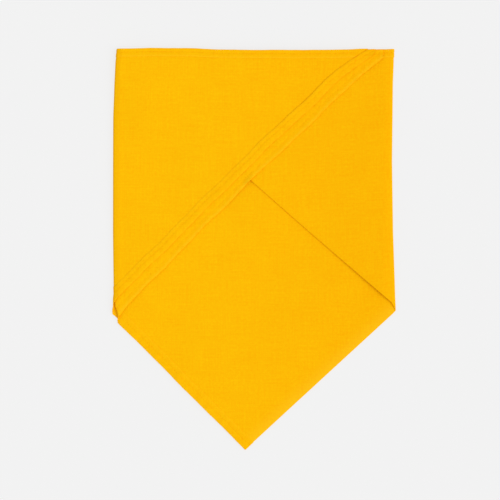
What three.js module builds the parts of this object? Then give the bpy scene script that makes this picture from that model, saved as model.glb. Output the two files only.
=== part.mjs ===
// A plain cotton neckerchief, stored folded flat.
// The real thing is one triangle of woven cotton, a right angle between two short edges and a long
// edge cut on the bias. All three edges are turned over twice and stitched, so each carries a hem.
// It is folded in half with the wrong side outwards. Then the right part is folded in over the
// front, and the left part over that. The tip of the folded shape is the middle of the long edge.
//
// Each piece starts as a flat solid in the plane of the unfolded cloth. It is cut along the lines
// where it will bend, and then the same folds are applied to the points of every piece in turn.
//
// Millimetres. X runs right, Y runs up the folded shape from its tip, and Z is the height.

import * as THREE from "three";

// The flat cloth
const LONG_EDGE = 1000;
const CLOTH_WALL = 1;
const HEM_WIDTH = 7;
const HEM_WALL = 1.2;
// The cloth's two sharp corners end square to the short edge, this far from the point
const CORNER_CUT = 6.4;
const PIECE_GAP = 0.3;

// The folds
const PLY_GAP = 0.2;
const BEND_STEPS = 6;
// How far the folded shape reaches from its tip to either side
const LEFT_REACH = 117.1;
const RIGHT_REACH = 131.6;
// The second ply's long edge lies this far inside the first ply's, from SET_BACK_RUN on
const SET_BACK = 10.2;
const SET_BACK_RUN = 165;
// The crease of the first fold runs lower than half a right angle, and the cloth beside it follows
const CREASE_ANGLE = 42.8;
const CREASE_SPREAD = 35;
// The right fold leans inwards on its way up
const RIGHT_LEAN = 0.7;
// The sharp corner is pulled outwards, over this much of its end
const CORNER_PULL = 9.4;
const CORNER_PULL_RUN = 110;
// The left flap climbs on to the right flap over this width
const CLIMB_RUN = 44;
const CLIMB_CLEARANCE = 2;

// How the edges of the folded shape wander. height is a share of the folded height. left and right
// are shares of the reach on that side, positive outwards.
const SIDE_ROWS = [
  { height: 0.345, left: 0.005, right: 0.004 },
  { height: 0.385, left: -0.006, right: 0.001 },
  { height: 0.54, left: 0.002, right: -0.003 },
  { height: 0.72, left: 0.001, right: 0.001 },
  { height: 0.83, left: 0, right: 0.007 },
  { height: 0.91, left: -0.009, right: 0.011 },
  { height: 0.97, left: -0.018, right: 0.016 },
  { height: 1, left: -0.029, right: 0.017 },
];
// across is a share of the reach on its side, left negative, and lift a share of the folded height
const TOP_COLUMNS = [
  { across: -1, lift: 0.002 },
  { across: -0.72, lift: 0.0045 },
  { across: -0.4, lift: 0.003 },
  { across: -0.2, lift: 0.001 },
  { across: 0.4, lift: -0.001 },
  { across: 1, lift: 0.0015 },
];

// Colour of the dyed cotton
const COTTON = { color: 0xfbba07, roughness: 0.85, metalness: 0 };

// Sizes that follow from those above
const HALF_EDGE = LONG_EDGE / 2;
const FOLDED_HEIGHT = HALF_EDGE / Math.SQRT2;
const HEM_RISE = HEM_WALL - CLOTH_WALL;
const PLY_STEP = CLOTH_WALL + PLY_GAP;
// From one layer's middle to the next, where both carry a hem on the sides that face each other
const LAYER_STEP = CLOTH_WALL + 2 * HEM_RISE + PLY_GAP;
const CREASE_RADIUS = PLY_STEP / 2;
const FLAP_RADIUS = LAYER_STEP / 2;
const FLAP_BULGE = FLAP_RADIUS + PLY_STEP + CLOTH_WALL / 2;
// The cloth's run round a flap's fold is measured midway between its two plies
const FLAP_PACE = FLAP_RADIUS + PLY_STEP / 2;
const CREASE_START = -(CREASE_RADIUS + CLOTH_WALL / 2);
const RIGHT_START = RIGHT_REACH - FLAP_BULGE;
const LEFT_START = LEFT_REACH - FLAP_BULGE;
// A cut passes a point that lies closer than this, so that no sliver is made
const SNAP = 0.02;

const UPWARDS = new THREE.Vector3(0, 0, 1);
// The direction of the first fold in the cloth, midway between the two short edges
const BIAS = Math.PI / 4;
// Cuts that a gradual slide or pull is spread over
const SPREAD_STEPS = 4;

const radians = THREE.MathUtils.degToRad;
const clamp01 = (value) => Math.min(1, Math.max(0, value));
const ease = (value) => clamp01(value) ** 2 * (3 - 2 * clamp01(value));
const steps = (count) => Array.from({ length: count + 1 }, (_, i) => i / count);

// Outlines in the plane of the flat cloth. The long edge lies on x from -HALF_EDGE to HALF_EDGE,
// and the right angle is at (0, HALF_EDGE). A line is all the points with normal . point = offset.
const line = (x, y, offset) => ({ normal: new THREE.Vector2(x, y), offset });
const longEdge = (inset) => line(0, 1, inset);
const shortEdge = (side, inset) =>
  line(-side * Math.SQRT1_2, -Math.SQRT1_2, inset - HALF_EDGE * Math.SQRT1_2);
const cornerCut = (side) =>
  line(-side * Math.SQRT1_2, Math.SQRT1_2, CORNER_CUT - HALF_EDGE * Math.SQRT1_2);

// The line that halves the angle between two edges, moved half a gap towards the first
function mitre(first, second) {
  const normal = second.normal.clone().sub(first.normal);
  const length = normal.length();
  return {
    normal: normal.divideScalar(length),
    offset: (second.offset - first.offset) / length + PIECE_GAP / 2,
  };
}

function meet(first, second) {
  const a = first.normal;
  const b = second.normal;
  const scale = a.cross(b);
  return new THREE.Vector2(
    (first.offset * b.y - second.offset * a.y) / scale,
    (second.offset * a.x - first.offset * b.x) / scale,
  );
}

function clothOutline() {
  const inset = HEM_WIDTH + PIECE_GAP;
  return [
    meet(longEdge(inset), shortEdge(-1, inset)),
    meet(longEdge(inset), shortEdge(1, inset)),
    meet(shortEdge(-1, inset), shortEdge(1, inset)),
  ];
}

function longHemOutline() {
  const end = (side) => {
    const seam = mitre(longEdge(0), shortEdge(side, 0));
    return [
      meet(longEdge(0), cornerCut(side)),
      meet(cornerCut(side), seam),
      meet(seam, longEdge(HEM_WIDTH)),
    ];
  };
  return [...end(1), ...end(-1).reverse()];
}

function shortHemOutline(side) {
  const seam = mitre(shortEdge(side, 0), longEdge(0));
  const top = mitre(shortEdge(side, 0), shortEdge(-side, 0));
  return [
    meet(shortEdge(side, 0), cornerCut(side)),
    meet(cornerCut(side), seam),
    meet(seam, shortEdge(side, HEM_WIDTH)),
    meet(shortEdge(side, HEM_WIDTH), top),
    meet(top, shortEdge(side, 0)),
  ];
}

// A flat solid on a convex outline: a list of points, and faces that are lists of their numbers
function flatSolid(outline, wall) {
  const around = THREE.ShapeUtils.isClockWise(outline) ? [...outline].reverse() : outline;
  const count = around.length;
  const level = (z) => around.map(({ x, y }) => new THREE.Vector3(x, y, z));
  const below = around.map((_, i) => i);
  const above = below.map((i) => i + count);
  const walls = below.map((i) => [i, (i + 1) % count, ((i + 1) % count) + count, i + count]);
  return {
    points: [...level(-CLOTH_WALL / 2), ...level(wall - CLOTH_WALL / 2)],
    faces: [[...below].reverse(), above, ...walls],
  };
}

// Cuts the faces along the plane where side(point) is zero. Faces that share an edge share the new
// point on it, so the solid stays closed.
function cut(solid, side) {
  const { points } = solid;
  const values = points.map((point) => {
    const value = side(point);
    return Math.abs(value) < SNAP ? 0 : value;
  });
  const made = new Map();
  const between = (a, b) => {
    const key = Math.min(a, b) + " " + Math.max(a, b);
    if (!made.has(key)) {
      const share = values[a] / (values[a] - values[b]);
      values.push(0);
      made.set(key, points.push(points[a].clone().lerp(points[b], share)) - 1);
    }
    return made.get(key);
  };
  solid.faces = solid.faces.flatMap((face) => {
    const crossed = (a, b) => values[a] * values[b] < 0;
    const around = face.flatMap((a, i) => {
      const b = face[(i + 1) % face.length];
      return crossed(a, b) ? [a, between(a, b)] : [a];
    });
    const halves = [1, -1].map((sign) => around.filter((i) => sign * values[i] >= 0));
    const whole = halves.find((half) => half.every((i) => values[i] === 0) || half.length < 3);
    return whole ? [face] : halves;
  });
}

// Clips the shortest corner off a face until a triangle is left
function triangles(points, face) {
  const rest = [...face];
  const made = [];
  while (rest.length > 3) {
    const count = rest.length;
    const around = (i) => rest[(i + count) % count];
    const reach = rest.map((_, i) => points[around(i - 1)].distanceTo(points[around(i + 1)]));
    const corner = reach.indexOf(Math.min(...reach));
    made.push([around(corner - 1), around(corner), around(corner + 1)]);
    rest.splice(corner, 1);
  }
  return [...made, rest];
}

// Cloth that runs along x past start turns round an axis at height axis, upwards or downwards, and
// runs back. It uses up cloth as a turn of radius pace does. landing(x) is the height that the
// cloth's middle comes back at.
function turnOver(point, { start, axis, pace, up, landing }) {
  const run = point.x - start;
  if (run <= 0) return;
  const way = up ? 1 : -1;
  const depth = way * point.z;
  const turn = Math.min(run / pace, Math.PI);
  point.x = start + (axis - depth) * Math.sin(turn);
  if (run > Math.PI * pace) point.x = start - (run - Math.PI * pace);
  const back = landing ? landing(point) : 2 * axis;
  const share = (1 - Math.cos(turn)) / 2;
  point.z = way * (share * back + depth * Math.cos(turn));
}

// Fold 1: in half under itself, along the crease. The second ply is first slid to where it lies
// short of the first.
const creaseFold = { start: CREASE_START, axis: CREASE_RADIUS, pace: CREASE_RADIUS, up: false };

function foldInHalf(solid) {
  const turnEnd = CREASE_START + Math.PI * CREASE_RADIUS;
  for (const share of steps(BEND_STEPS))
    cut(solid, (p) => p.x - CREASE_START - share * Math.PI * CREASE_RADIUS);
  for (const share of steps(SPREAD_STEPS)) cut(solid, (p) => p.x - turnEnd - share * SET_BACK_RUN);
  for (const point of solid.points) {
    const slide = SET_BACK * ease((point.x - turnEnd) / SET_BACK_RUN);
    point.x -= slide;
    point.y += slide;
    turnOver(point, creaseFold);
    point.applyAxisAngle(UPWARDS, -BIAS);
  }
}

// The crease lies lower than half a right angle, and the cloth within CREASE_SPREAD of it follows
function lowerCrease(solid) {
  for (const share of steps(SPREAD_STEPS).slice(1)) {
    const angle = BIAS + share * radians(CREASE_SPREAD);
    cut(solid, (p) => p.x * Math.sin(angle) - p.y * Math.cos(angle));
  }
  for (const point of solid.points) {
    const share = 1 - (Math.atan2(point.y, point.x) - BIAS) / radians(CREASE_SPREAD);
    if (share <= 0) continue;
    point.applyAxisAngle(UPWARDS, (radians(CREASE_ANGLE) - BIAS) * Math.min(share, 1) ** 2);
  }
}

function pullCorner(solid) {
  const from = CORNER_PULL_RUN - FOLDED_HEIGHT;
  for (const share of steps(SPREAD_STEPS)) cut(solid, (p) => p.x - from + share * CORNER_PULL_RUN);
  for (const point of solid.points)
    point.x -= CORNER_PULL * Math.max(0, (from - point.x) / CORNER_PULL_RUN) ** 2;
}

// The corner where the right fold meets the crease, which the right fold leans from
const RIGHT_FOOT = new THREE.Vector3(
  RIGHT_START,
  RIGHT_START * Math.tan(radians(CREASE_ANGLE)),
  0,
);

// Fold 2: the right part in over the front
function foldRight(solid) {
  const fold = { start: 0, axis: FLAP_RADIUS, pace: FLAP_PACE, up: true };
  for (const point of solid.points)
    point.sub(RIGHT_FOOT).applyAxisAngle(UPWARDS, -radians(RIGHT_LEAN));
  for (const share of steps(BEND_STEPS)) cut(solid, (p) => p.x - share * Math.PI * FLAP_PACE);
  for (const point of solid.points) {
    turnOver(point, fold);
    point.applyAxisAngle(UPWARDS, radians(RIGHT_LEAN)).add(RIGHT_FOOT);
  }
}

// How far a point of the folded shape lies inside the right flap's lower edge
const FLAP_EDGE_ANGLE = radians(CREASE_ANGLE - 2 * RIGHT_LEAN);
function insideRightFlap(x, y) {
  const across = (x - RIGHT_REACH) * Math.sin(FLAP_EDGE_ANGLE);
  return across + (y - RIGHT_FOOT.y) * Math.cos(FLAP_EDGE_ANGLE);
}

// Fold 3: the left part over the front. It lies on the body, and climbs on to the right flap.
function foldLeft(solid) {
  const climb = (x, y) => 1 + (insideRightFlap(x, y) + CLIMB_CLEARANCE) / CLIMB_RUN;
  const landing = ({ x, y }) => LAYER_STEP + (LAYER_STEP + PLY_STEP) * clamp01(climb(-x, y));
  const fold = { start: LEFT_START, axis: FLAP_RADIUS, pace: FLAP_PACE, up: true, landing };
  // This fold looks along -x, so that the left part lies past start
  for (const point of solid.points) point.x *= -1;
  for (const share of steps(BEND_STEPS))
    cut(solid, (p) => p.x - LEFT_START - share * Math.PI * FLAP_PACE);
  const landed = 2 * LEFT_START + Math.PI * FLAP_PACE;
  for (const level of [0, 1]) cut(solid, (p) => CLIMB_RUN * (climb(p.x - landed, p.y) - level));
  for (const point of solid.points) {
    turnOver(point, fold);
    point.x *= -1;
  }
}

// The value of a column of a table at a place between its rows
function fromTable(table, key, column, place) {
  const next = table.findIndex((row) => row[key] >= place);
  if (next === 0) return table[0][column];
  if (next < 0) return table.at(-1)[column];
  const [low, high] = [table[next - 1], table[next]];
  const share = (place - low[key]) / (high[key] - low[key]);
  return low[column] + share * (high[column] - low[column]);
}

// The edges of the folded shape wander a little
function settle(solid) {
  const reach = (x) => (x < 0 ? LEFT_REACH : RIGHT_REACH);
  for (const { height } of SIDE_ROWS) cut(solid, (p) => p.y - height * FOLDED_HEIGHT);
  for (const { across } of TOP_COLUMNS.slice(1, -1)) cut(solid, (p) => p.x - across * reach(across));
  for (const point of solid.points) {
    const across = point.x / reach(point.x);
    const height = point.y / FOLDED_HEIGHT;
    const side = point.x < 0 ? "left" : "right";
    const fade = clamp01(height / SIDE_ROWS[0].height);
    point.x *= 1 + fade * fromTable(SIDE_ROWS, "height", side, height);
    point.y *= 1 + fade * fromTable(TOP_COLUMNS, "across", "lift", across);
  }
}

const FOLDS = [foldInHalf, lowerCrease, pullCorner, foldRight, foldLeft, settle];

function foldedMesh(name, outline, wall) {
  const solid = flatSolid(outline, wall);
  for (const fold of FOLDS) fold(solid);
  const geometry = new THREE.BufferGeometry().setFromPoints(solid.points);
  geometry.setIndex(solid.faces.flatMap((face) => triangles(solid.points, face)).flat());
  geometry.computeVertexNormals();
  const mesh = new THREE.Mesh(geometry, new THREE.MeshStandardMaterial(COTTON));
  mesh.name = name;
  return mesh;
}

const neckerchief = new THREE.Group();
neckerchief.name = "neckerchief";
neckerchief.add(
  foldedMesh("cloth", clothOutline(), CLOTH_WALL),
  foldedMesh("long_edge_hem", longHemOutline(), HEM_WALL),
  foldedMesh("first_short_hem", shortHemOutline(-1), HEM_WALL),
  foldedMesh("second_short_hem", shortHemOutline(1), HEM_WALL),
);

// The origin is under the middle of the folded shape
const box = new THREE.Box3().setFromObject(neckerchief);
const middle = box.getCenter(new THREE.Vector3());
neckerchief.position.set(-middle.x, -middle.y, -box.min.z);

export default neckerchief;
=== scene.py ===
# %% [markdown]
# A cotton neckerchief, stored folded flat.
# The real thing is one big triangle of thin dyed cotton. Its three edges are turned over twice and
# stitched. It was folded in half with the wrong side out, then the right part was folded in over
# the front, and the left part over that, so only a little of each layer shows.
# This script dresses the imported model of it: the same sheet and the same folds, made fine enough
# for hems, stitches and puckers to show.

import math

import bpy
import numpy as np
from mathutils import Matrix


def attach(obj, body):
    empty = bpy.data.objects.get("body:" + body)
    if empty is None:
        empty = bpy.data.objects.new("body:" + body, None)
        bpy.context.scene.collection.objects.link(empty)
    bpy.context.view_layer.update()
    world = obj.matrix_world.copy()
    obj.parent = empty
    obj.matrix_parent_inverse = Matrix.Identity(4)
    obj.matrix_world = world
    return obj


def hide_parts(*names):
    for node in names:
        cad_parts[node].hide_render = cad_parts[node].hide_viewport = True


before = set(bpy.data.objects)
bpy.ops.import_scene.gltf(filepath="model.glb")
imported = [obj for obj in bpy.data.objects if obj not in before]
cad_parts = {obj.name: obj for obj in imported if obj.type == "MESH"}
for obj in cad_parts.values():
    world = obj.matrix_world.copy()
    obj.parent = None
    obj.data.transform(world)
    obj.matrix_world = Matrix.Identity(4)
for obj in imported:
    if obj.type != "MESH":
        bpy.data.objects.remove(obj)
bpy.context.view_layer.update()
print("CAD nodes:", sorted(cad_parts))

# %% [markdown]
# All sizes are in metres, as Blender has them, so MM turns a millimetre into metres.
# The flat cloth lies with its long edge on X, from -HALF_EDGE to HALF_EDGE at Y = 0, and its right
# angle at (0, HALF_EDGE). Its wrong side, where the hems stand up, is towards +Z.
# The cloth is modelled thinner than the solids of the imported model, as real cotton is, but it
# follows the same folds, so its outline is nearly the same.

# %% Sizes of the cloth and its hems
MM = 0.001
HALF_EDGE = 500 * MM
SHORT_EDGE = HALF_EDGE * math.sqrt(2)
FOLDED_HEIGHT = HALF_EDGE / math.sqrt(2)
CORNER_CUT = 7 * MM
CLOTH_WALL = 0.36 * MM
CLOTH_FACE = CLOTH_WALL / 2
# The long edge, cut on the bias, has a wider hem than the short ones
LONG_HEM = 8.7 * MM
SHORT_HEM = 7.5 * MM
LONG_HEM_STITCHES = 4.9 * MM
SHORT_HEM_STITCHES = 3.3 * MM
HEM_TOP = 0.66 * MM
# The sheet stops this far inside each edge, within the rounded nose of the hem
NOSE = 0.5 * MM
print("short edge", round(SHORT_EDGE, 4), "folded height", round(FOLDED_HEIGHT, 4))

# %% Sizes of the folds
BEND_STEPS = 7
CREASE_RADIUS = 0.3 * MM
# The two plies are pressed together along their edges, and lie looser inside
PLY_STEP_AT_EDGES = 2 * CREASE_RADIUS
PLY_STEP = 0.75 * MM
EDGE_OPENING = 16 * MM
FLAP_RADIUS = 0.8 * MM
LAYER_STEP = 2 * FLAP_RADIUS
LEFT_REACH = 117.3 * MM
RIGHT_REACH = 131.8 * MM
# One edge is set back from the other, a little by the left fold and then more beyond it
SET_BACK = 2.5 * MM
SET_BACK_RUN = 150 * MM
SET_BACK_BEYOND = 7.8 * MM
BEYOND_FROM = 167 * MM
BEYOND_RUN = 26 * MM
# Its far corner was drawn back out again
CORNER_OUT = 8 * MM
CORNER_OUT_FROM = 460 * MM
CREASE_ANGLE = math.radians(42.8)
CREASE_SPREAD = math.radians(35)
RIGHT_LEAN = math.radians(0.7)
CORNER_PULL = 9 * MM
CORNER_PULL_RUN = 110 * MM
CLIMB_RUN = 44 * MM
CLIMB_CLEARANCE = 2 * MM
# How far each flap sinks on to the layer below it, away from its fold and from the top hems, and
# how much more far from both, or where the left flap lies on the right one
RIGHT_SINK = 0.9 * MM
RIGHT_SINK_FAR = 0.18 * MM
LEFT_SINK = 0.42 * MM
LEFT_SINK_CLIMBED = 0.28 * MM
SINK_RUN = 60 * MM
LEFT_SINK_RUN = 15 * MM
# Each starts to sink this far from its fold and from the top edge
FOLD_STAYS_UP = 8 * MM
RIGHT_TOP_STAYS_UP = 12 * MM
LEFT_TOP_STAYS_UP = 8 * MM
# The right flap stands up a little where its fold meets the crease
FOOT_LIFT = 0.65 * MM
FOOT_REACH = 48 * MM
FOOT_RISES_OVER = 9 * MM
# The crease slips up this far as the right part turns over, and the cloth near it follows
CREASE_SLIP = 4.2 * MM
CREASE_SLIP_REACH = 100 * MM
# The long edge slips down this far as the left part turns over
EDGE_SLIP = 2.3 * MM
EDGE_SLIP_REACH = 80 * MM
# This share of the slip is left at the top edge, which it fades towards
EDGE_SLIP_AT_TOP = 0.4
EDGE_SLIP_FADE = 50 * MM
# The left part was folded over a little askew, so it rises towards its far end
LEFT_RISE = 0.0025
# The top of the stack rounds down to each fold, and the body to its crease
SHOULDER = 0.9 * MM
SHOULDER_REACH = 5 * MM
CREASE_SHOULDER = 0.3 * MM
# The left fold was pressed flatter, which leaves a narrow slope with a ridge beside it
LEFT_SHOULDER = 0.64 * MM
LEFT_SHOULDER_REACH = 4 * MM
LEFT_RIDGE = 0.1 * MM
LEFT_RIDGE_AT = 1.5 * LEFT_SHOULDER_REACH
LEFT_RIDGE_REACH = 1.8 * MM
# The stiff hems hold the lower end of the left fold open, and the inner ply is tucked further in
CORNER_OPENING = 1.8 * MM
CORNER_LIFT = 2.2 * MM
INNER_LIFT_SHARE = 0.3
CORNER_REACH = 12 * MM
CORNER_TUCK = 4.3 * MM
TUCK_REACH = 8.5 * MM
TUCK_TAKEN = 0.45
# The right flap stands up in a small bump where its crease runs in under the left flap
PINCH = 1.8 * MM
PINCH_REACH = 4 * MM
PINCH_AT = (4.3 * MM, 237.7 * MM)
# The far tip of the left flap's upper ply stands up a little
TIP_LIFT = 1 * MM
TIP_REACH = 6 * MM
TIP_AT = (114 * MM, 347.5 * MM)

BIAS = math.pi / 4
FLAP_BULGE = FLAP_RADIUS + PLY_STEP_AT_EDGES + CLOTH_FACE
FLAP_PACE = FLAP_RADIUS + PLY_STEP_AT_EDGES / 2
CREASE_START = -(CREASE_RADIUS + CLOTH_FACE)
RIGHT_START = RIGHT_REACH - FLAP_BULGE
LEFT_START = LEFT_REACH - FLAP_BULGE
RIGHT_FOOT = np.array([RIGHT_START, RIGHT_START * math.tan(CREASE_ANGLE)])
FLAP_EDGE_ANGLE = CREASE_ANGLE - 2 * RIGHT_LEAN

# %% How the edges of the folded shape wander
# Rows of height, then left and right: shares of the folded height and of the reach on that side
SIDE_ROWS = np.array([
    (0.345, 0.006, 0.01),
    (0.385, -0.004, 0.006),
    (0.54, 0.002, -0.003),
    (0.72, 0.001, -0.004),
    (0.83, 0, 0.003),
    (0.91, -0.009, 0.008),
    (0.97, -0.018, 0.016),
    (1, -0.029, 0.018),
])
# Rows of place across, left negative, and lift: shares of the reach and of the folded height
TOP_COLUMNS = np.array([
    (-1, 0.003),
    (-0.72, 0.0045),
    (-0.4, 0.003),
    (-0.2, 0),
    (0.1, -0.002),
    (0.4, -0.0012),
    (1, 0.0045),
])


# %% [markdown]
# Two kinds of tool shape a piece. Blender's own operators add a mesh and cut it along straight
# lines, so that it has points where it will bend. Between the cuts, numpy moves all the points at
# once: a fold is a rule that says where each point of the cloth goes, and the same rule for the
# sheet, the hems and the stitches keeps them together.

# %% Small tools
def ease(share):
    share = np.clip(share, 0, 1)
    return share**2 * (3 - 2 * share)


def between(value, start, stop):
    """Eases from 0 at start to 1 at stop."""
    return ease((value - start) / (stop - start))


def near(distance, reach):
    """1 at no distance, and almost nothing past twice the reach."""
    return np.exp(-((distance / reach) ** 2))


def steps(count):
    return [i / count for i in range(count + 1)]


def points_of(piece):
    flat = np.empty(len(piece.data.vertices) * 3)
    piece.data.vertices.foreach_get("co", flat)
    return flat.reshape(-1, 3)


def put_points(piece, points):
    piece.data.vertices.foreach_set("co", points.ravel())
    piece.data.update()


def pick(piece):
    bpy.ops.object.select_all(action="DESELECT")
    piece.select_set(True)
    bpy.context.view_layer.objects.active = piece


def edit(piece):
    pick(piece)
    bpy.ops.object.mode_set(mode="EDIT")
    bpy.ops.mesh.select_all(action="SELECT")


def cut(piece, lines, clear=False):
    """Cuts along upright planes, each (normal x, normal y, offset). clear drops what is behind."""
    edit(piece)
    for x, y, offset in lines:
        bpy.ops.mesh.select_all(action="SELECT")
        bpy.ops.mesh.bisect(
            plane_co=(x * offset, y * offset, 0),
            plane_no=(x, y, 0),
            clear_inner=clear,
            threshold=0.02 * MM,
        )
    bpy.ops.object.mode_set(mode="OBJECT")


def turned(points, angle):
    c, s = math.cos(angle), math.sin(angle)
    x, y = points[:, 0].copy(), points[:, 1].copy()
    points[:, 0] = c * x - s * y
    points[:, 1] = s * x + c * y
    return points


# %% [markdown]
# The three edges are described alike. inset is how far a point lies inside an edge, and along is
# how far along it from one end. The nearer a point is to an edge, the more it follows the
# puckers that the stitching draws up in it, and the more it wanders with that edge.

# %% The edges
LONG = "long"
FIRST = -1
SECOND = 1
EDGES = (LONG, FIRST, SECOND)
# Width of each hem, and how far inside the edge its stitches are
HEM_LINES = {
    LONG: (LONG_HEM, LONG_HEM_STITCHES),
    FIRST: (SHORT_HEM, SHORT_HEM_STITCHES),
    SECOND: (SHORT_HEM, SHORT_HEM_STITCHES),
}


def inset(points, edge):
    if edge == LONG:
        return points[:, 1].copy()
    return (HALF_EDGE - edge * points[:, 0] - points[:, 1]) / math.sqrt(2)


def along(points, edge):
    if edge == LONG:
        return points[:, 0] + HALF_EDGE
    return (HALF_EDGE - edge * points[:, 0] + points[:, 1]) / math.sqrt(2)


def inward(edge):
    if edge == LONG:
        return np.array([0.0, 1.0])
    return np.array([-edge, -1.0]) / math.sqrt(2)


def on_edge(edge, place, depth, height):
    """The points of the flat cloth at these places along an edge, insets and heights."""
    if edge == LONG:
        x = place - HALF_EDGE
        y = depth
    else:
        x = edge * (HALF_EDGE - (place + depth) / math.sqrt(2))
        y = (place - depth) / math.sqrt(2)
    return np.stack([x, y, height], axis=1)


# %% Puckers and wandering edges
SEED = 41
draws = np.random.default_rng(SEED)
# Wavelengths and heights in millimetres, of the puckers that stand up and of the edge's wandering
# in its plane, and how far into the cloth each reaches
PUCKERS = ((6.3, 0.05), (9.1, 0.1), (13.7, 0.12), (31, 0.18))
WANDERING = ((11, 0.1), (37, 0.25), (83, 0.35), (160, 0.3))
PUCKER_REACH = 8 * MM
WANDER_REACH = 45 * MM
# Where layers are pressed together, by the crease and along the top edge, puckers lie flatter
CREASE_PRESSED = 45 * MM
TOP_PRESSED_SHARE = 0.35
# The thread draws the cloth up along its row, and between there and the hem's fold it sags
DRAWN_UP = 0.16 * MM
DRAWN_UP_REACH = 1.1 * MM
SAG_SHARE = 0.6
SAG_REACH = 1.8 * MM
# The body lies straighter than the flaps, over this much of the middle of the long edge
STRAIGHT_RUN = 170 * MM
STRAIGHT_FADE = 30 * MM
STRAIGHT_SHARE = 0.3
STRAIGHT_EDGE_OUT = 0.7 * MM
# There the long hem was also turned over wider than at its ends
WIDER_HEM = 1.4 * MM
WIDER_HEM_REACH = 14 * MM
# Its edge is dented where it crosses the crease below
DENT = 1.6 * MM
DENT_AT = 161 * MM
DENT_RUN = 15 * MM
DENT_REACH = 6 * MM


def drawn(waves):
    return [(length * MM, height * MM, draws.uniform(0, 2 * math.pi)) for length, height in waves]


EDGE_PUCKERS = {edge: drawn(PUCKERS) for edge in EDGES}
EDGE_WANDERING = {edge: drawn(WANDERING) for edge in EDGES}


def wave_sum(place, waves):
    return sum(
        height * np.sin(2 * math.pi * place / length + phase) for length, height, phase in waves
    )


def rumple(piece):
    points = points_of(piece)
    moved = points.copy()
    from_middle = np.abs(points[:, 0])
    for edge in EDGES:
        depth = inset(points, edge)
        place = along(points, edge)
        if edge == LONG:
            free = ease(from_middle / CREASE_PRESSED)
            loose = ease((from_middle - STRAIGHT_RUN) / STRAIGHT_FADE)
        else:
            free = TOP_PRESSED_SHARE
            loose = 0
        width, sewn = HEM_LINES[edge]
        sag = near(depth - (sewn + width) / 2, SAG_REACH)
        moved[:, 2] += DRAWN_UP * (near(depth - sewn, DRAWN_UP_REACH) - SAG_SHARE * sag)
        moved[:, 2] += free * wave_sum(place, EDGE_PUCKERS[edge]) * near(depth, PUCKER_REACH)
        shift = wave_sum(place, EDGE_WANDERING[edge]) * near(depth, WANDER_REACH)
        shift *= STRAIGHT_SHARE + (1 - STRAIGHT_SHARE) * loose
        if edge == LONG:
            shift -= STRAIGHT_EDGE_OUT * (1 - loose) * near(depth, WANDER_REACH)
            past_hem = np.maximum(depth - LONG_HEM, 0)
            widened = np.minimum(depth / LONG_HEM, 1) * near(past_hem, WIDER_HEM_REACH)
            shift += WIDER_HEM * (1 - loose) * widened
            shift += DENT * near(place - DENT_AT, DENT_RUN) * near(depth, DENT_REACH)
        moved[:, :2] += inward(edge) * shift[:, None]
    put_points(piece, moved)


# %% [markdown]
# Each point can carry marks, which Blender blends where a cut adds new points. The mark called
# under tells the two halves of the cloth apart. The other, from 0 to 1, makes the edges, ridges
# and the lit crease paler: partly wear that rubbed them, partly a painted highlight where they
# catch the light.

# %% Marks
def mark(piece, name, values):
    marks = piece.data.attributes.new(name, "FLOAT", "POINT")
    marks.data.foreach_set("value", values.astype(np.float32))


def marks_of(piece, name):
    values = np.empty(len(piece.data.vertices), dtype=np.float32)
    piece.data.attributes[name].data.foreach_get("value", values)
    return values.astype(float)


# %% [markdown]
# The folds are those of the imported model, in the same order. A flap turns round an axis just above
# the layer that it lies on, and comes back at the height that landing gives.

# %% The turn of a fold
def turn_over(points, start, axis, pace, up, landing):
    """Turns what lies past x = start round an axis at that height, and runs it back."""
    run = points[:, 0] - start
    past = run > 0
    way = 1 if up else -1
    depth = way * points[:, 2]
    turn = np.clip(run / pace, 0, math.pi)
    straight = np.maximum(run - math.pi * pace, 0)
    x = start + (axis - depth) * np.sin(turn) - straight
    share = (1 - np.cos(turn)) / 2
    z = way * (share * landing(x, points[:, 1]) + depth * np.cos(turn))
    points[past, 0] = x[past]
    points[past, 2] = z[past]
    return points


# %% Fold in half along the crease
def opened(x, y):
    """From 0 at the edges of the cloth folded in half to 1 well inside them."""
    from_short = (HALF_EDGE + x - y) / math.sqrt(2)
    return ease(np.minimum(np.minimum(CREASE_START - x, y), from_short) / EDGE_OPENING)


def crease_landing(x, y):
    return PLY_STEP_AT_EDGES + (PLY_STEP - PLY_STEP_AT_EDGES) * opened(x, y)


def fold_in_half(piece):
    run = math.pi * CREASE_RADIUS
    cut(piece, [(1, 0, CREASE_START + share * run) for share in steps(BEND_STEPS)])
    points = points_of(piece)
    beyond = points[:, 0] - CREASE_START - run
    slide = SET_BACK * ease(beyond / SET_BACK_RUN)
    slide += SET_BACK_BEYOND * ease((beyond - BEYOND_FROM) / BEYOND_RUN)
    to_corner = np.maximum(beyond - CORNER_OUT_FROM, 0) / (HALF_EDGE - CORNER_OUT_FROM)
    slide -= CORNER_OUT * to_corner**2
    points[:, 0] -= slide
    points[:, 1] += slide
    turn_over(points, CREASE_START, CREASE_RADIUS, CREASE_RADIUS, False, crease_landing)
    loose = PLY_STEP - PLY_STEP_AT_EDGES
    points[:, 2] += loose / 2 * opened(points[:, 0], points[:, 1])
    turned(points, -BIAS)
    # The crease runs lower than half a right angle, and the cloth beside it follows
    share = np.clip(1 - (np.arctan2(points[:, 1], points[:, 0]) - BIAS) / CREASE_SPREAD, 0, 1)
    swing = (CREASE_ANGLE - BIAS) * share**2
    x, y = points[:, 0].copy(), points[:, 1].copy()
    points[:, 0] = np.cos(swing) * x - np.sin(swing) * y
    points[:, 1] = np.sin(swing) * x + np.cos(swing) * y
    # The sharp corner is pulled outwards
    from_x = CORNER_PULL_RUN - FOLDED_HEIGHT
    points[:, 0] -= CORNER_PULL * np.maximum(0, (from_x - points[:, 0]) / CORNER_PULL_RUN) ** 2
    put_points(piece, points)


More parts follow.
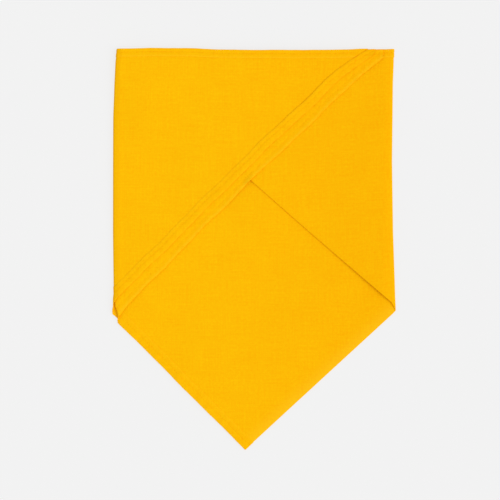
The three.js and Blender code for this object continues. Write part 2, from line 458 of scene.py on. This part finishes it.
# %% Fold the right part in
def right_landing(x, y):
    """Height of the right flap's lower ply over the body's, at a place measured from the tip."""
    from_fold = RIGHT_START - x
    from_top = FOLDED_HEIGHT - y
    sink = RIGHT_SINK * ease((from_fold - FOLD_STAYS_UP) / SINK_RUN)
    sink *= ease((from_top - RIGHT_TOP_STAYS_UP) / SINK_RUN)
    far = ease((from_fold - SINK_RUN) / SINK_RUN) * ease((from_top - SINK_RUN) / SINK_RUN)
    sink += RIGHT_SINK_FAR * far
    to_foot = np.hypot(x - RIGHT_FOOT[0], y - RIGHT_FOOT[1])
    lift = FOOT_LIFT * near(to_foot, FOOT_REACH) * ease(from_fold / FOOT_RISES_OVER)
    to_pinch = np.hypot(x - PINCH_AT[0], y - PINCH_AT[1])
    return LAYER_STEP - sink + lift + PINCH * near(to_pinch, PINCH_REACH)


def fold_right(piece):
    points = points_of(piece)
    from_crease = points[:, 1] * math.cos(CREASE_ANGLE) - points[:, 0] * math.sin(CREASE_ANGLE)
    slip = CREASE_SLIP * (1 - ease(from_crease / CREASE_SLIP_REACH))
    quarter = math.pi * FLAP_PACE / 2
    points[:, 1] += slip * ease((points[:, 0] - RIGHT_START - quarter) / quarter)
    points[:, :2] -= RIGHT_FOOT
    turned(points, -RIGHT_LEAN)
    put_points(piece, points)
    run = math.pi * FLAP_PACE
    cut(piece, [(1, 0, share * run) for share in steps(BEND_STEPS)])
    points = points_of(piece)
    turn_over(
        points, 0, FLAP_RADIUS, FLAP_PACE, True,
        lambda x, y: right_landing(x + RIGHT_FOOT[0], y + RIGHT_FOOT[1]),
    )
    turned(points, RIGHT_LEAN)
    points[:, :2] += RIGHT_FOOT
    put_points(piece, points)


# %% Fold the left part over it
# Extra lines beside the fold, in millimetres from where it starts
LINES_BY_LEFT_FOLD = (-5.5, -4.5, -3.6, -2.7, -1.8, -0.9, 4.2, 5.1, 6.1, 7.2, 8.6, 10.5)


def inside_right_flap(x, y):
    across = (x - RIGHT_REACH) * math.sin(FLAP_EDGE_ANGLE)
    return across + (y - RIGHT_FOOT[1]) * math.cos(FLAP_EDGE_ANGLE)


def left_landing(x, y):
    """x is mirrored here, as this fold looks along -x."""
    climbed = ease(1 + (inside_right_flap(-x, y) + CLIMB_CLEARANCE) / CLIMB_RUN)
    from_fold = LEFT_START - x
    from_top = FOLDED_HEIGHT - y
    sink = LEFT_SINK + LEFT_SINK_CLIMBED * climbed
    sink *= ease((from_fold - FOLD_STAYS_UP) / SINK_RUN)
    sink *= ease((from_top - LEFT_TOP_STAYS_UP) / LEFT_SINK_RUN)
    return LAYER_STEP - sink + climbed * (right_landing(-x, y) + PLY_STEP)


def fold_left(piece):
    points = points_of(piece)
    from_edge = (points[:, 1] + points[:, 0]) / math.sqrt(2)
    points[:, 0] *= -1
    slip = EDGE_SLIP * (1 - ease(from_edge / EDGE_SLIP_REACH))
    fade = ease((FOLDED_HEIGHT - points[:, 1]) / EDGE_SLIP_FADE)
    slip *= EDGE_SLIP_AT_TOP + (1 - EDGE_SLIP_AT_TOP) * fade
    points[:, 1] -= slip * ease((points[:, 0] - LEFT_START) / (math.pi * FLAP_PACE))
    run = math.pi * FLAP_PACE
    points[:, 1] += LEFT_RISE * np.maximum(points[:, 0] - LEFT_START - run, 0)
    put_points(piece, points)
    cut(piece, [(1, 0, LEFT_START + share * run) for share in steps(BEND_STEPS)])
    cut(piece, [(1, 0, LEFT_START + place * MM) for place in LINES_BY_LEFT_FOLD])
    points = points_of(piece)
    under = marks_of(piece, "under")
    from_corner = points[:, 1] - LEFT_REACH
    opening = CORNER_OPENING * under * near(from_corner, CORNER_REACH)
    tuck = CORNER_TUCK * (1 - under) * near(from_corner, TUCK_REACH)
    corner_lift = CORNER_LIFT * (INNER_LIFT_SHARE + (1 - INNER_LIFT_SHARE) * under)

    def landing(x, y):
        to_corner = np.hypot(LEFT_START - x, y - LEFT_REACH)
        to_tip = np.hypot(x + TIP_AT[0], y - TIP_AT[1])
        lift = corner_lift * near(to_corner, CORNER_REACH)
        lift += TIP_LIFT * under * near(to_tip, TIP_REACH)
        return left_landing(x, y) + lift

    pace = FLAP_PACE + opening + TUCK_TAKEN * tuck
    turn_over(points, LEFT_START - opening - tuck, FLAP_RADIUS + opening, pace, True, landing)
    points[:, 0] *= -1
    put_points(piece, points)


# %% Settle the folded cloth
# Wavelength and height of each slow swell in millimetres, to which a direction and phase are drawn
SWELLS = [
    (length * MM, height * MM, draws.uniform(0, 2 * math.pi), draws.uniform(0, 2 * math.pi))
    for length, height in ((70, 0.12), (110, 0.2), (190, 0.25))
]


def settle(piece):
    """Wandering outline, and a slow swell that all layers share."""
    points = points_of(piece)
    x, y = points[:, 0], points[:, 1]
    reach = np.where(x < 0, LEFT_REACH, RIGHT_REACH)
    height = y / FOLDED_HEIGHT
    fade = np.clip(height / SIDE_ROWS[0, 0], 0, 1)
    left = np.interp(height, SIDE_ROWS[:, 0], SIDE_ROWS[:, 1])
    right = np.interp(height, SIDE_ROWS[:, 0], SIDE_ROWS[:, 2])
    lift = np.interp(x / reach, TOP_COLUMNS[:, 0], TOP_COLUMNS[:, 1])
    swell = sum(
        rise * np.sin(2 * math.pi * (x * math.cos(way) + y * math.sin(way)) / length + phase)
        for length, rise, way, phase in SWELLS
    )
    from_fold = reach - np.abs(x)
    upper = ease(points[:, 2] / LAYER_STEP)
    right_slope = SHOULDER * near(np.maximum(from_fold, 0), SHOULDER_REACH)
    left_slope = LEFT_SHOULDER * np.clip(1 - from_fold / LEFT_SHOULDER_REACH, 0, 1)
    left_slope -= LEFT_RIDGE * near(from_fold - LEFT_RIDGE_AT, LEFT_RIDGE_REACH)
    swell = swell - upper * np.where(x < 0, left_slope, right_slope)
    from_crease = y * math.cos(CREASE_ANGLE) - x * math.sin(CREASE_ANGLE)
    swell = swell - CREASE_SHOULDER * near(from_crease, SHOULDER_REACH)
    points[:, 0] = x * (1 + fade * np.where(x < 0, left, right))
    points[:, 1] = y * (1 + fade * lift)
    points[:, 2] += swell
    put_points(piece, points)


def fold_up(piece):
    """The half of the cloth with positive X comes to lie under the other."""
    mark(piece, "under", points_of(piece)[:, 0] > 0)
    rumple(piece)
    fold_in_half(piece)
    fold_right(piece)
    fold_left(piece)
    settle(piece)


# %% [markdown]
# Each piece carries a UV map called grain. It holds the place in the flat cloth, measured from the
# right angle along the two short edges, which are the directions of its threads. The weave then
# follows the cloth round every fold.

# %% The grain map
def map_grain(piece):
    points = points_of(piece)
    layer = piece.data.uv_layers[0]
    layer.name = "grain"
    corners = np.empty(len(piece.data.loops), dtype=np.int32)
    piece.data.loops.foreach_get("vertex_index", corners)
    grain = np.stack([inset(points, FIRST), inset(points, SECOND)], axis=1) / SHORT_EDGE
    layer.data.foreach_set("uv", grain[corners].ravel())


# %% [markdown]
# The sheet itself starts as a square grid that follows the threads, so its cells run with the
# weave, and half of it is cut off along the bias for the long edge. Lines close to the edges give
# it the points that the puckers need. It stays a single surface until it is folded, and a
# Solidify modifier then gives it its wall.

# %% The sheet
CELL = 3.4 * MM
# Lines beside each edge, in millimetres: from the edge, from the stitches and from the hem's fold
LINES_FROM_EDGE = (1.1,)
LINES_FROM_STITCHES = (-1.4, -0.6, 0, 0.6, 1.4)
LINES_FROM_HEM = (0, 3, 7)
# Where the sheet is paler: by its edges, from wear and a painted highlight, and by the crease, a
# painted highlight along the stretch that faces the light, this far from the middle of the edge
EDGE_WEAR_AND_HIGHLIGHT_AT = 0.6 * MM
EDGE_WEAR_AND_HIGHLIGHT_REACH = 1 * MM
CREASE_HIGHLIGHT = 0.9
CREASE_HIGHLIGHT_REACH = 6.5 * MM
CREASE_HIGHLIGHT_LENGTH = 180 * MM
SMOOTH_DEGREES = 50


def add_grid(name, columns, rows):
    bpy.ops.object.select_all(action="DESELECT")
    bpy.ops.mesh.primitive_grid_add(x_subdivisions=columns, y_subdivisions=rows, size=2)
    piece = bpy.context.object
    piece.name = name
    piece.data.name = name
    return piece


def edge_line(edge, depth):
    x, y = inward(edge)
    offset = depth if edge == LONG else depth - HALF_EDGE / math.sqrt(2)
    return (x, y, offset)


def edge_lines(edge):
    width, sewn = HEM_LINES[edge]
    depths = [step * MM for step in LINES_FROM_EDGE]
    depths += [sewn + step * MM for step in LINES_FROM_STITCHES]
    depths += [width + step * MM for step in LINES_FROM_HEM]
    return [edge_line(edge, depth) for depth in depths]


def make_sheet():
    cells = round(SHORT_EDGE / CELL)
    piece = add_grid("folded_sheet", cells, cells)
    shares = (points_of(piece) + 1) / 2
    span = SHORT_EDGE - CORNER_CUT - 2 * NOSE
    first = NOSE + shares[:, 0] * span
    second = NOSE + shares[:, 1] * span
    x = (first - second) / math.sqrt(2)
    y = HALF_EDGE - (first + second) / math.sqrt(2)
    put_points(piece, np.stack([x, y, np.zeros(len(x))], axis=1))
    cut(piece, [edge_line(LONG, NOSE)], clear=True)
    for edge in EDGES:
        cut(piece, edge_lines(edge))
    edit(piece)
    bpy.ops.mesh.normals_make_consistent(inside=False)
    bpy.ops.object.mode_set(mode="OBJECT")
    map_grain(piece)
    points = points_of(piece)
    # Paler edges: wear, and a painted highlight
    wear_and_highlight = [near(inset(points, edge) - EDGE_WEAR_AND_HIGHLIGHT_AT, EDGE_WEAR_AND_HIGHLIGHT_REACH) for edge in EDGES]
    # Painted highlight on the crease, only over the stretch whose edge faces the light
    crease_highlight = CREASE_HIGHLIGHT * near(points[:, 0], CREASE_HIGHLIGHT_REACH)
    wear_and_highlight.append(crease_highlight * (points[:, 1] < CREASE_HIGHLIGHT_LENGTH))
    mark(piece, "wear_and_highlight", np.max(wear_and_highlight, axis=0))
    return piece


def give_wall(piece):
    pick(piece)
    wall = piece.modifiers.new("wall", "SOLIDIFY")
    wall.thickness = CLOTH_WALL
    wall.offset = 0
    bpy.ops.object.modifier_apply(modifier=wall.name)


def smooth(piece, degrees):
    pick(piece)
    bpy.ops.object.shade_smooth_by_angle(angle=math.radians(degrees))


sheet = make_sheet()
fold_up(sheet)
give_wall(sheet)
smooth(sheet, SMOOTH_DEGREES)
print("sheet faces", len(sheet.data.polygons))

# %% [markdown]
# A hem is the edge of the cloth rolled over twice and sewn down. It is made the same way: a long
# grid is wrapped round the hem's section until its two long sides meet, and they are merged. The
# section has a rounded nose outside, a groove where the stitches pull it in, and a rounded fold
# inside that stands up from the cloth. The long edge was hemmed last, so at the sharp corners its
# hem runs over the ends of the short ones.

# %% The hems
def hem_section(edge):
    """Inset and height of each point round the section."""
    width, sewn = (size / MM for size in HEM_LINES[edge])
    nose = [(0.95, -0.19), (0.5, -0.185), (0.22, -0.13), (0.06, -0.02), (0, 0.14), (0.03, 0.34)]
    nose += [(0.16, 0.5), (0.42, 0.6), (0.95, 0.65)]
    groove = [(sewn - 1.6, 0.65), (sewn - 0.95, 0.56), (sewn - 0.45, 0.37), (sewn, 0.25)]
    groove += [(sewn + 0.45, 0.37), (sewn + 0.95, 0.56), (sewn + 1.6, 0.65)]
    inner = [(width - 1.3, 0.69), (width - 0.75, 0.67), (width - 0.32, 0.56), (width - 0.08, 0.4)]
    inner += [(width, 0.27), (width - 0.06, 0.184)]
    under = [(width - 1.5, 0.183), (sewn + 0.6, 0.183), (sewn - 0.6, 0.183), (0.95, 0.183)]
    return np.array(nose + groove + inner + under) * MM


STATION = 1.5 * MM
# How far the short hems run in under the long one, and how much thicker it is there
TUCKED = 0.6 * MM
CORNER_THICKER = 0.15 * MM
CORNER_BLEND = 2 * MM
# The long hem was turned over narrower from here on, measured from its first end
NARROWS_FROM = 885 * MM
NARROWED_BY = 0.2
# The second short hem starts past the narrowed end of the long one, with a tenth to spare
NARROWED_SPARE = 1.1
# Its height as a share of the section's, and how much lower it gets over a stretch by each end
LONG_HEM_STANDS = 0.68
FIRST_END_LOWER = 0.38
FIRST_END = (30 * MM, 150 * MM)
SECOND_END_LOWER = 0.3
SECOND_END = (870 * MM, 920 * MM)
# The fold on its inner side stands up more over a stretch near the second end
FOLD_STANDS_UP = 1.2
FOLD_STANDS_AT = 940 * MM
FOLD_STANDS_REACH = 52 * MM
# How pale each hem is made, by wear and a painted highlight on its ridges, how wide a band of its
# nose and of its fold, and over what height
HEM_WEAR_AND_HIGHLIGHT = {LONG: 0.2, FIRST: 0.6, SECOND: 0.6}
NOSE_WEAR_AND_HIGHLIGHT = 1.2 * MM
FOLD_WEAR_AND_HIGHLIGHT = 0.7 * MM
TOP_BLEND = 0.2 * MM


def narrowed(place, depth):
    """The long hem was turned over ever narrower towards its second end."""
    share = np.clip((place - NARROWS_FROM) / (2 * HALF_EDGE - NARROWS_FROM), 0, 1)
    return depth * (1 - NARROWED_BY * share**2)


def hem_ends(edge, depth):
    """Where a hem starts and stops along its edge, at these insets."""
    if edge == LONG:
        start = np.maximum(CORNER_CUT * math.sqrt(2) - depth, depth)
        return start, 2 * HALF_EDGE - start
    if edge == SECOND:
        long_hem_end = LONG_HEM * (1 - NARROWED_BY) * NARROWED_SPARE
        start = np.maximum(depth + long_hem_end * math.sqrt(2), CORNER_CUT)
        return start, SHORT_EDGE - depth
    return LONG_HEM * math.sqrt(2) + depth - TUCKED, SHORT_EDGE - depth


def long_hem_rise(points, place, depth, height):
    """How much higher each point of the long hem lies than its section says."""
    inner = between(depth, LONG_HEM / 3, LONG_HEM * 2 / 3)
    stands = LONG_HEM_STANDS - FIRST_END_LOWER * (1 - between(place, *FIRST_END))
    stands -= SECOND_END_LOWER * between(place, *SECOND_END)
    stands += FOLD_STANDS_UP * inner * near(place - FOLD_STANDS_AT, FOLD_STANDS_REACH)
    from_short = np.minimum(inset(points, FIRST), inset(points, SECOND))
    over = ease((SHORT_HEM + CORNER_BLEND / 2 - from_short) / CORNER_BLEND)
    above = np.maximum(height - CLOTH_FACE, 0)
    return (stands - 1) * above + CORNER_THICKER * over * ease(height / HEM_TOP)


def make_hem(name, edge):
    length = 2 * HALF_EDGE if edge == LONG else SHORT_EDGE
    section = hem_section(edge)
    around = len(section)
    piece = add_grid(name, round(length / STATION), around)
    shares = (points_of(piece) + 1) / 2
    turn = np.rint(shares[:, 1] * around).astype(int) % around
    depth, height = section[turn].T
    start, stop = hem_ends(edge, depth)
    place = start + shares[:, 0] * (stop - start)
    if edge == LONG:
        points = on_edge(edge, place, narrowed(place, depth), height)
        points[:, 2] += long_hem_rise(points, place, depth, height)
    else:
        points = on_edge(edge, place, depth, height)
    put_points(piece, points)
    map_grain(piece)
    # Nose and fold top are paler: wear, and a painted highlight where these ridges catch light
    on_top = ease((height - CLOTH_FACE) / TOP_BLEND)
    fold_wear_and_highlight = near(depth - HEM_LINES[edge][0] + FOLD_WEAR_AND_HIGHLIGHT, FOLD_WEAR_AND_HIGHLIGHT) * on_top
    mark(piece, "wear_and_highlight", HEM_WEAR_AND_HIGHLIGHT[edge] * np.maximum(near(depth, NOSE_WEAR_AND_HIGHLIGHT), fold_wear_and_highlight))
    edit(piece)
    bpy.ops.mesh.remove_doubles(threshold=0.001 * MM)
    bpy.ops.mesh.select_all(action="SELECT")
    bpy.ops.mesh.fill_holes(sides=0)
    bpy.ops.mesh.select_all(action="SELECT")
    bpy.ops.mesh.normals_make_consistent(inside=False)
    bpy.ops.object.mode_set(mode="OBJECT")
    fold_up(piece)
    smooth(piece, SMOOTH_DEGREES)
    return piece


hems = [
    make_hem("long_hem", LONG),
    make_hem("first_short_edge_hem", FIRST),
    make_hem("second_short_edge_hem", SECOND),
]
for hem in hems:
    print(hem.name, "faces", len(hem.data.polygons))

# %% [markdown]
# The stitches are a single row of lockstitch on each hem, which shows on both sides. One stitch is
# a small round-ended grain of thread, with few faces because there are hundreds. An Array modifier
# repeats it, and the row is laid along the hem's groove and folded up with the rest.

# %% The stitches
STITCH_PITCH = 2.6 * MM
STITCH_LENGTH = 2.2 * MM
THREAD_RADIUS = 0.17 * MM
# Heights of the thread's middle, in the hem's groove and on the right side of the cloth
STITCH_HEIGHTS = (0.31 * MM, -0.2 * MM)
THREAD_SMOOTH_DEGREES = 60


def make_stitches(name, edge):
    sewn = HEM_LINES[edge][1]
    start, stop = hem_ends(edge, np.array([sewn]))
    # The row stops a pitch short of both ends of the hem
    room = float(stop[0] - start[0]) - 2 * STITCH_PITCH
    rows = []
    for height in STITCH_HEIGHTS:
        bpy.ops.object.select_all(action="DESELECT")
        bpy.ops.mesh.primitive_uv_sphere_add(segments=6, ring_count=5, radius=1)
        row = bpy.context.object
        grain = points_of(row)
        turned_grain = np.stack([grain[:, 2], grain[:, 0], grain[:, 1]], axis=1)
        turned_grain *= (STITCH_LENGTH / 2, THREAD_RADIUS, THREAD_RADIUS)
        put_points(row, turned_grain)
        again = row.modifiers.new("row", "ARRAY")
        again.use_relative_offset = False
        again.use_constant_offset = True
        again.constant_offset_displace = (STITCH_PITCH, 0, 0)
        again.count = int(room / STITCH_PITCH)
        bpy.ops.object.modifier_apply(modifier=again.name)
        spots = points_of(row)
        place = float(start[0]) + 1.5 * STITCH_PITCH + spots[:, 0]
        depth = narrowed(place, sewn) if edge == LONG else sewn
        put_points(row, on_edge(edge, place, depth + spots[:, 1], height + spots[:, 2]))
        map_grain(row)
        rows.append(row)
    bpy.ops.object.select_all(action="DESELECT")
    for row in rows:
        row.select_set(True)
    bpy.context.view_layer.objects.active = rows[0]
    bpy.ops.object.join()
    piece = bpy.context.object
    piece.name = name
    piece.data.name = name
    edit(piece)
    bpy.ops.mesh.normals_make_consistent(inside=False)
    bpy.ops.object.mode_set(mode="OBJECT")
    fold_up(piece)
    smooth(piece, THREAD_SMOOTH_DEGREES)
    return piece


stitches = [
    make_stitches("long_hem_stitches", LONG),
    make_stitches("first_short_edge_stitches", FIRST),
    make_stitches("second_short_edge_stitches", SECOND),
]
for row in stitches:
    print(row.name, "faces", len(row.data.polygons))

# %% [markdown]
# The folds were made round the tip of the folded shape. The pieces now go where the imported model
# has that tip, and down until the lowest of them just touches the floor.

# %% Put the pieces in place
pieces = [sheet, *hems, *stitches]
cad_points = points_of(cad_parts["long_edge_hem"])
tip = cad_points[cad_points[:, 1].argmin()]
lowest = min(points_of(piece)[:, 2].min() for piece in pieces)
for piece in pieces:
    put_points(piece, points_of(piece) + (tip[0], tip[1], -lowest))
    piece.location = (0, 0, 0)
    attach(piece, "root")
print("tip at", [round(float(v), 5) for v in tip[:2]], "raised by", round(float(-lowest), 5))

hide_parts("cloth")
for hem, node in zip(hems, ("long_edge_hem", "first_short_hem", "second_short_hem")):
    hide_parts(node)


# %% [markdown]
# Cotton scatters light evenly, so its finish is nearly all base colour. What gives it away is
# small: threads that are thicker here and there show as faint streaks along both thread
# directions, the dye took unevenly in soft patches, and the weave breaks up the surface. All of it
# is worked out from the grain map, in millimetres.

# %% Shader tools
class Term:
    """A number in a shader. Sums and products of terms add Math nodes."""

    def __init__(self, tree, socket):
        self.tree = tree
        self.socket = socket

    def math(self, operation, *others):
        node = self.tree.nodes.new("ShaderNodeMath")
        node.operation = operation
        for place, value in enumerate((self, *others)):
            fill(self.tree, node.inputs[place], value)
        return Term(self.tree, node.outputs[0])

    def flipped(self, operation, other):
        node = self.tree.nodes.new("ShaderNodeMath")
        node.operation = operation
        fill(self.tree, node.inputs[0], other)
        fill(self.tree, node.inputs[1], self)
        return Term(self.tree, node.outputs[0])

    def __add__(self, other):
        return self.math("ADD", other)

    def __sub__(self, other):
        return self.math("SUBTRACT", other)

    def __mul__(self, other):
        return self.math("MULTIPLY", other)

    def __truediv__(self, other):
        return self.math("DIVIDE", other)

    def __rsub__(self, other):
        return self.flipped("SUBTRACT", other)

    def __rtruediv__(self, other):
        return self.flipped("DIVIDE", other)

    __radd__ = __add__
    __rmul__ = __mul__


def fill(tree, socket, value):
    """Links a term or socket, or sets a plain value."""
    if isinstance(value, Term):
        value = value.socket
    if isinstance(value, bpy.types.NodeSocket):
        tree.links.new(value, socket)
    else:
        socket.default_value = value


class Finish:
    """A material under construction."""

    def __init__(self, name):
        self.material = bpy.data.materials.new(name)
        self.material.use_nodes = True
        self.tree = self.material.node_tree
        self.tree.nodes.clear()

    def add(self, kind, settings=None, inputs=None):
        """A node of this type, with its settings made first and then its sockets filled."""
        node = self.tree.nodes.new(kind)
        for name, value in (settings or {}).items():
            setattr(node, name, value)
        for name, value in (inputs or {}).items():
            fill(self.tree, node.inputs[name], value)
        return node

    def noise(self, place, scale=1.0):
        node = self.add("ShaderNodeTexNoise", {}, {"Vector": place, "Scale": scale, "Detail": 3.0})
        return Term(self.tree, node.outputs["Fac"])

    def stretched(self, place, factors):
        node = self.add("ShaderNodeVectorMath", {"operation": "MULTIPLY"}, {0: place, 1: factors})
        return node.outputs["Vector"]


# %% The cotton
DYE = (0.95, 0.521, 0.002, 1)
# The deep end of the dye's random tone, which the painted shade on the right also leans to
DEEP_DYE_AND_SHADE = (0.93, 0.41, 0.001, 1)
# Paler colour of wear, which also serves as a painted highlight on ridges and the lit crease
PALE_WEAR_AND_HIGHLIGHT = (0.96, 0.59, 0.02, 1)
WEAR_AND_HIGHLIGHT_SHARE = 0.3
# The thread's dye and its deep end, which the painted shade on the right also leans to
THREAD_DYE = (0.95, 0.53, 0.004, 1)
THREAD_DEEP_DYE_AND_SHADE = (0.92, 0.43, 0.003, 1)
# Painted shade, for light that is weaker on the right: the colour deepens over this stretch of X
PAINTED_SHADE_FROM = -40 * MM
PAINTED_SHADE_OVER = 160 * MM
PAINTED_SHADE_BY = 0.3
# Waves of noise per millimetre, along the threads and across them, and in the patches and mottle
ALONG_THREAD = 0.035
ACROSS_THREAD = 1.6
PATCH_SCALE = 0.045
MOTTLE_SCALE = 0.45
# How much each of them shifts the dye, and the tone that they shift, from 0 for deep to 1
PATCH_TONE = 0.35
MOTTLE_TONE = 1.1
MIDDLE_TONE = 0.62
# Two threads of the weave in millimetres, and how much each thing adds to the relief
THREADS_MM = 0.42
WEAVE_RELIEF = 0.5
STREAK_RELIEF = 0.8
MOTTLE_RELIEF = 0.9


def make_cotton(name, dye, deep):
    finish = Finish(name)
    grain = finish.add("ShaderNodeUVMap", {"uv_map": "grain"}).outputs["UV"]
    size = SHORT_EDGE / MM
    place = finish.stretched(grain, (size, size, 1))
    split = finish.add("ShaderNodeSeparateXYZ", {}, {"Vector": place})
    warp = Term(finish.tree, split.outputs["X"])
    weft = Term(finish.tree, split.outputs["Y"])
    # Streaks a thread or two wide and some centimetres long, in both directions
    streaks = finish.noise(finish.stretched(place, (ALONG_THREAD, ACROSS_THREAD, 1)))
    streaks += finish.noise(finish.stretched(place, (ACROSS_THREAD, ALONG_THREAD, 1)))
    patches = finish.noise(place, PATCH_SCALE)
    mottle = finish.noise(place, MOTTLE_SCALE)
    tone = (streaks - 1) + (patches - 0.5) * PATCH_TONE + (mottle - 0.5) * MOTTLE_TONE + MIDDLE_TONE
    # Painted shade: the tone drops towards the right, for light that is weaker there
    spot = finish.add("ShaderNodeTexCoord").outputs["Object"]
    spot_split = finish.add("ShaderNodeSeparateXYZ", {}, {"Vector": spot})
    across = Term(finish.tree, spot_split.outputs["X"])
    painted_shade = ((across - PAINTED_SHADE_FROM) / PAINTED_SHADE_OVER).math("MAXIMUM", 0).math("MINIMUM", 1)
    tone = tone - painted_shade * PAINTED_SHADE_BY
    colour = finish.add(
        "ShaderNodeMix",
        {"data_type": "RGBA", "clamp_factor": True},
        {0: tone, 6: deep, 7: dye},
    )
    # Paler edges, ridges and lit crease by the mark: wear, and a painted highlight
    wear_and_highlight_mark = finish.add("ShaderNodeAttribute", {"attribute_name": "wear_and_highlight"})
    wear_and_highlight = Term(finish.tree, wear_and_highlight_mark.outputs["Fac"])
    colour = finish.add(
        "ShaderNodeMix",
        {"data_type": "RGBA"},
        {0: wear_and_highlight * WEAR_AND_HIGHLIGHT_SHARE, 6: colour.outputs[2], 7: PALE_WEAR_AND_HIGHLIGHT},
    )
    turn = 2 * math.pi / THREADS_MM
    weave = (warp * turn).math("SINE") * (weft * turn).math("SINE")
    height = weave * WEAVE_RELIEF + streaks * STREAK_RELIEF + mottle * MOTTLE_RELIEF
    bump = finish.add(
        "ShaderNodeBump", {}, {"Strength": 0.35, "Distance": 0.05 * MM, "Height": height}
    )
    shader = finish.add(
        "ShaderNodeBsdfPrincipled",
        {},
        {
            "Base Color": colour.outputs[2],
            "Roughness": 0.9,
            "Specular IOR Level": 0.12,
            "Specular Tint": (1, 0.62, 0.05, 1),
            "Sheen Weight": 0.05,
            "Sheen Roughness": 0.5,
            "Sheen Tint": (1, 0.6, 0.05, 1),
            "Normal": bump.outputs["Normal"],
        },
    )
    finish.add("ShaderNodeOutputMaterial", {}, {"Surface": shader.outputs[0]})
    return finish.material


cotton = make_cotton("dyed_cotton", DYE, DEEP_DYE_AND_SHADE)
hem_cotton = make_cotton("hem_cotton", DYE, DEEP_DYE_AND_SHADE)
thread = make_cotton("stitching_thread", THREAD_DYE, THREAD_DEEP_DYE_AND_SHADE)


def finish_with(piece, material):
    piece.data.materials.clear()
    piece.data.materials.append(material)


finish_with(sheet, cotton)
for hem in hems:
    finish_with(hem, hem_cotton)
for row in stitches:
    finish_with(row, thread)
print("materials", [m.name for m in bpy.data.materials])

# %% [markdown]
# The photograph was taken from straight above, on a plain pale ground under soft light that comes
# mostly from everywhere and a little more from the right. A bright sky gives the even part. The
# rest is a wide soft sun on the right, which lights the right sides of the folds and shades the
# left ones.

# %% Floor
# A lit ground, as a light table is, so that the shadow beside the cloth stays faint
GROUND_ALBEDO = 0.12
GROUND_GLOW = 0.763
GROUND_SIZE = 12
bpy.ops.object.select_all(action="DESELECT")
bpy.ops.mesh.primitive_plane_add(size=GROUND_SIZE, location=(0, 0, 0))
floor = bpy.context.object
floor.name = "floor"
ground = Finish("pale_ground")
ground_shader = ground.add(
    "ShaderNodeBsdfPrincipled",
    {},
    {
        "Base Color": (GROUND_ALBEDO, GROUND_ALBEDO, GROUND_ALBEDO, 1),
        "Roughness": 0.95,
        "Specular IOR Level": 0.0,
        "Emission Color": (1, 1, 1, 1),
        "Emission Strength": GROUND_GLOW,
    },
)
ground.add("ShaderNodeOutputMaterial", {}, {"Surface": ground_shader.outputs[0]})
finish_with(floor, ground.material)

# %% Light
SKY_STRENGTH = 0.745
LAMP_STRENGTH = 1.386
# How wide the lamp looks from the cloth, which softens its shadows
LAMP_ANGLE = math.radians(50)
LAMP_FROM = (0.7, -0.2, 0.7)

world = bpy.data.worlds.new("soft_sky")
bpy.context.scene.world = world
world.use_nodes = True
world.node_tree.nodes["Background"].inputs["Color"].default_value = (1, 1, 1, 1)
world.node_tree.nodes["Background"].inputs["Strength"].default_value = SKY_STRENGTH

bpy.ops.object.light_add(type="SUN", location=LAMP_FROM)
lamp = bpy.context.object
lamp.name = "soft_lamp"
lamp.data.angle = LAMP_ANGLE
lamp.data.energy = LAMP_STRENGTH
lamp.rotation_euler = (-lamp.location).to_track_quat("-Z", "Y").to_euler()
bpy.context.scene.view_settings.view_transform = "Standard"

# %% Camera
VIEW_WIDTH = 442 * MM
LENS = 100
SENSOR = 36
VIEW_CENTRE = (-3.4 * MM, -1.1 * MM)
OBJECT_LEVEL = 5 * MM

bpy.ops.object.camera_add(
    location=(*VIEW_CENTRE, OBJECT_LEVEL + VIEW_WIDTH * LENS / SENSOR), rotation=(0, 0, 0)
)
camera = bpy.context.object
camera.data.lens = LENS
camera.data.sensor_width = SENSOR
bpy.context.scene.camera = camera
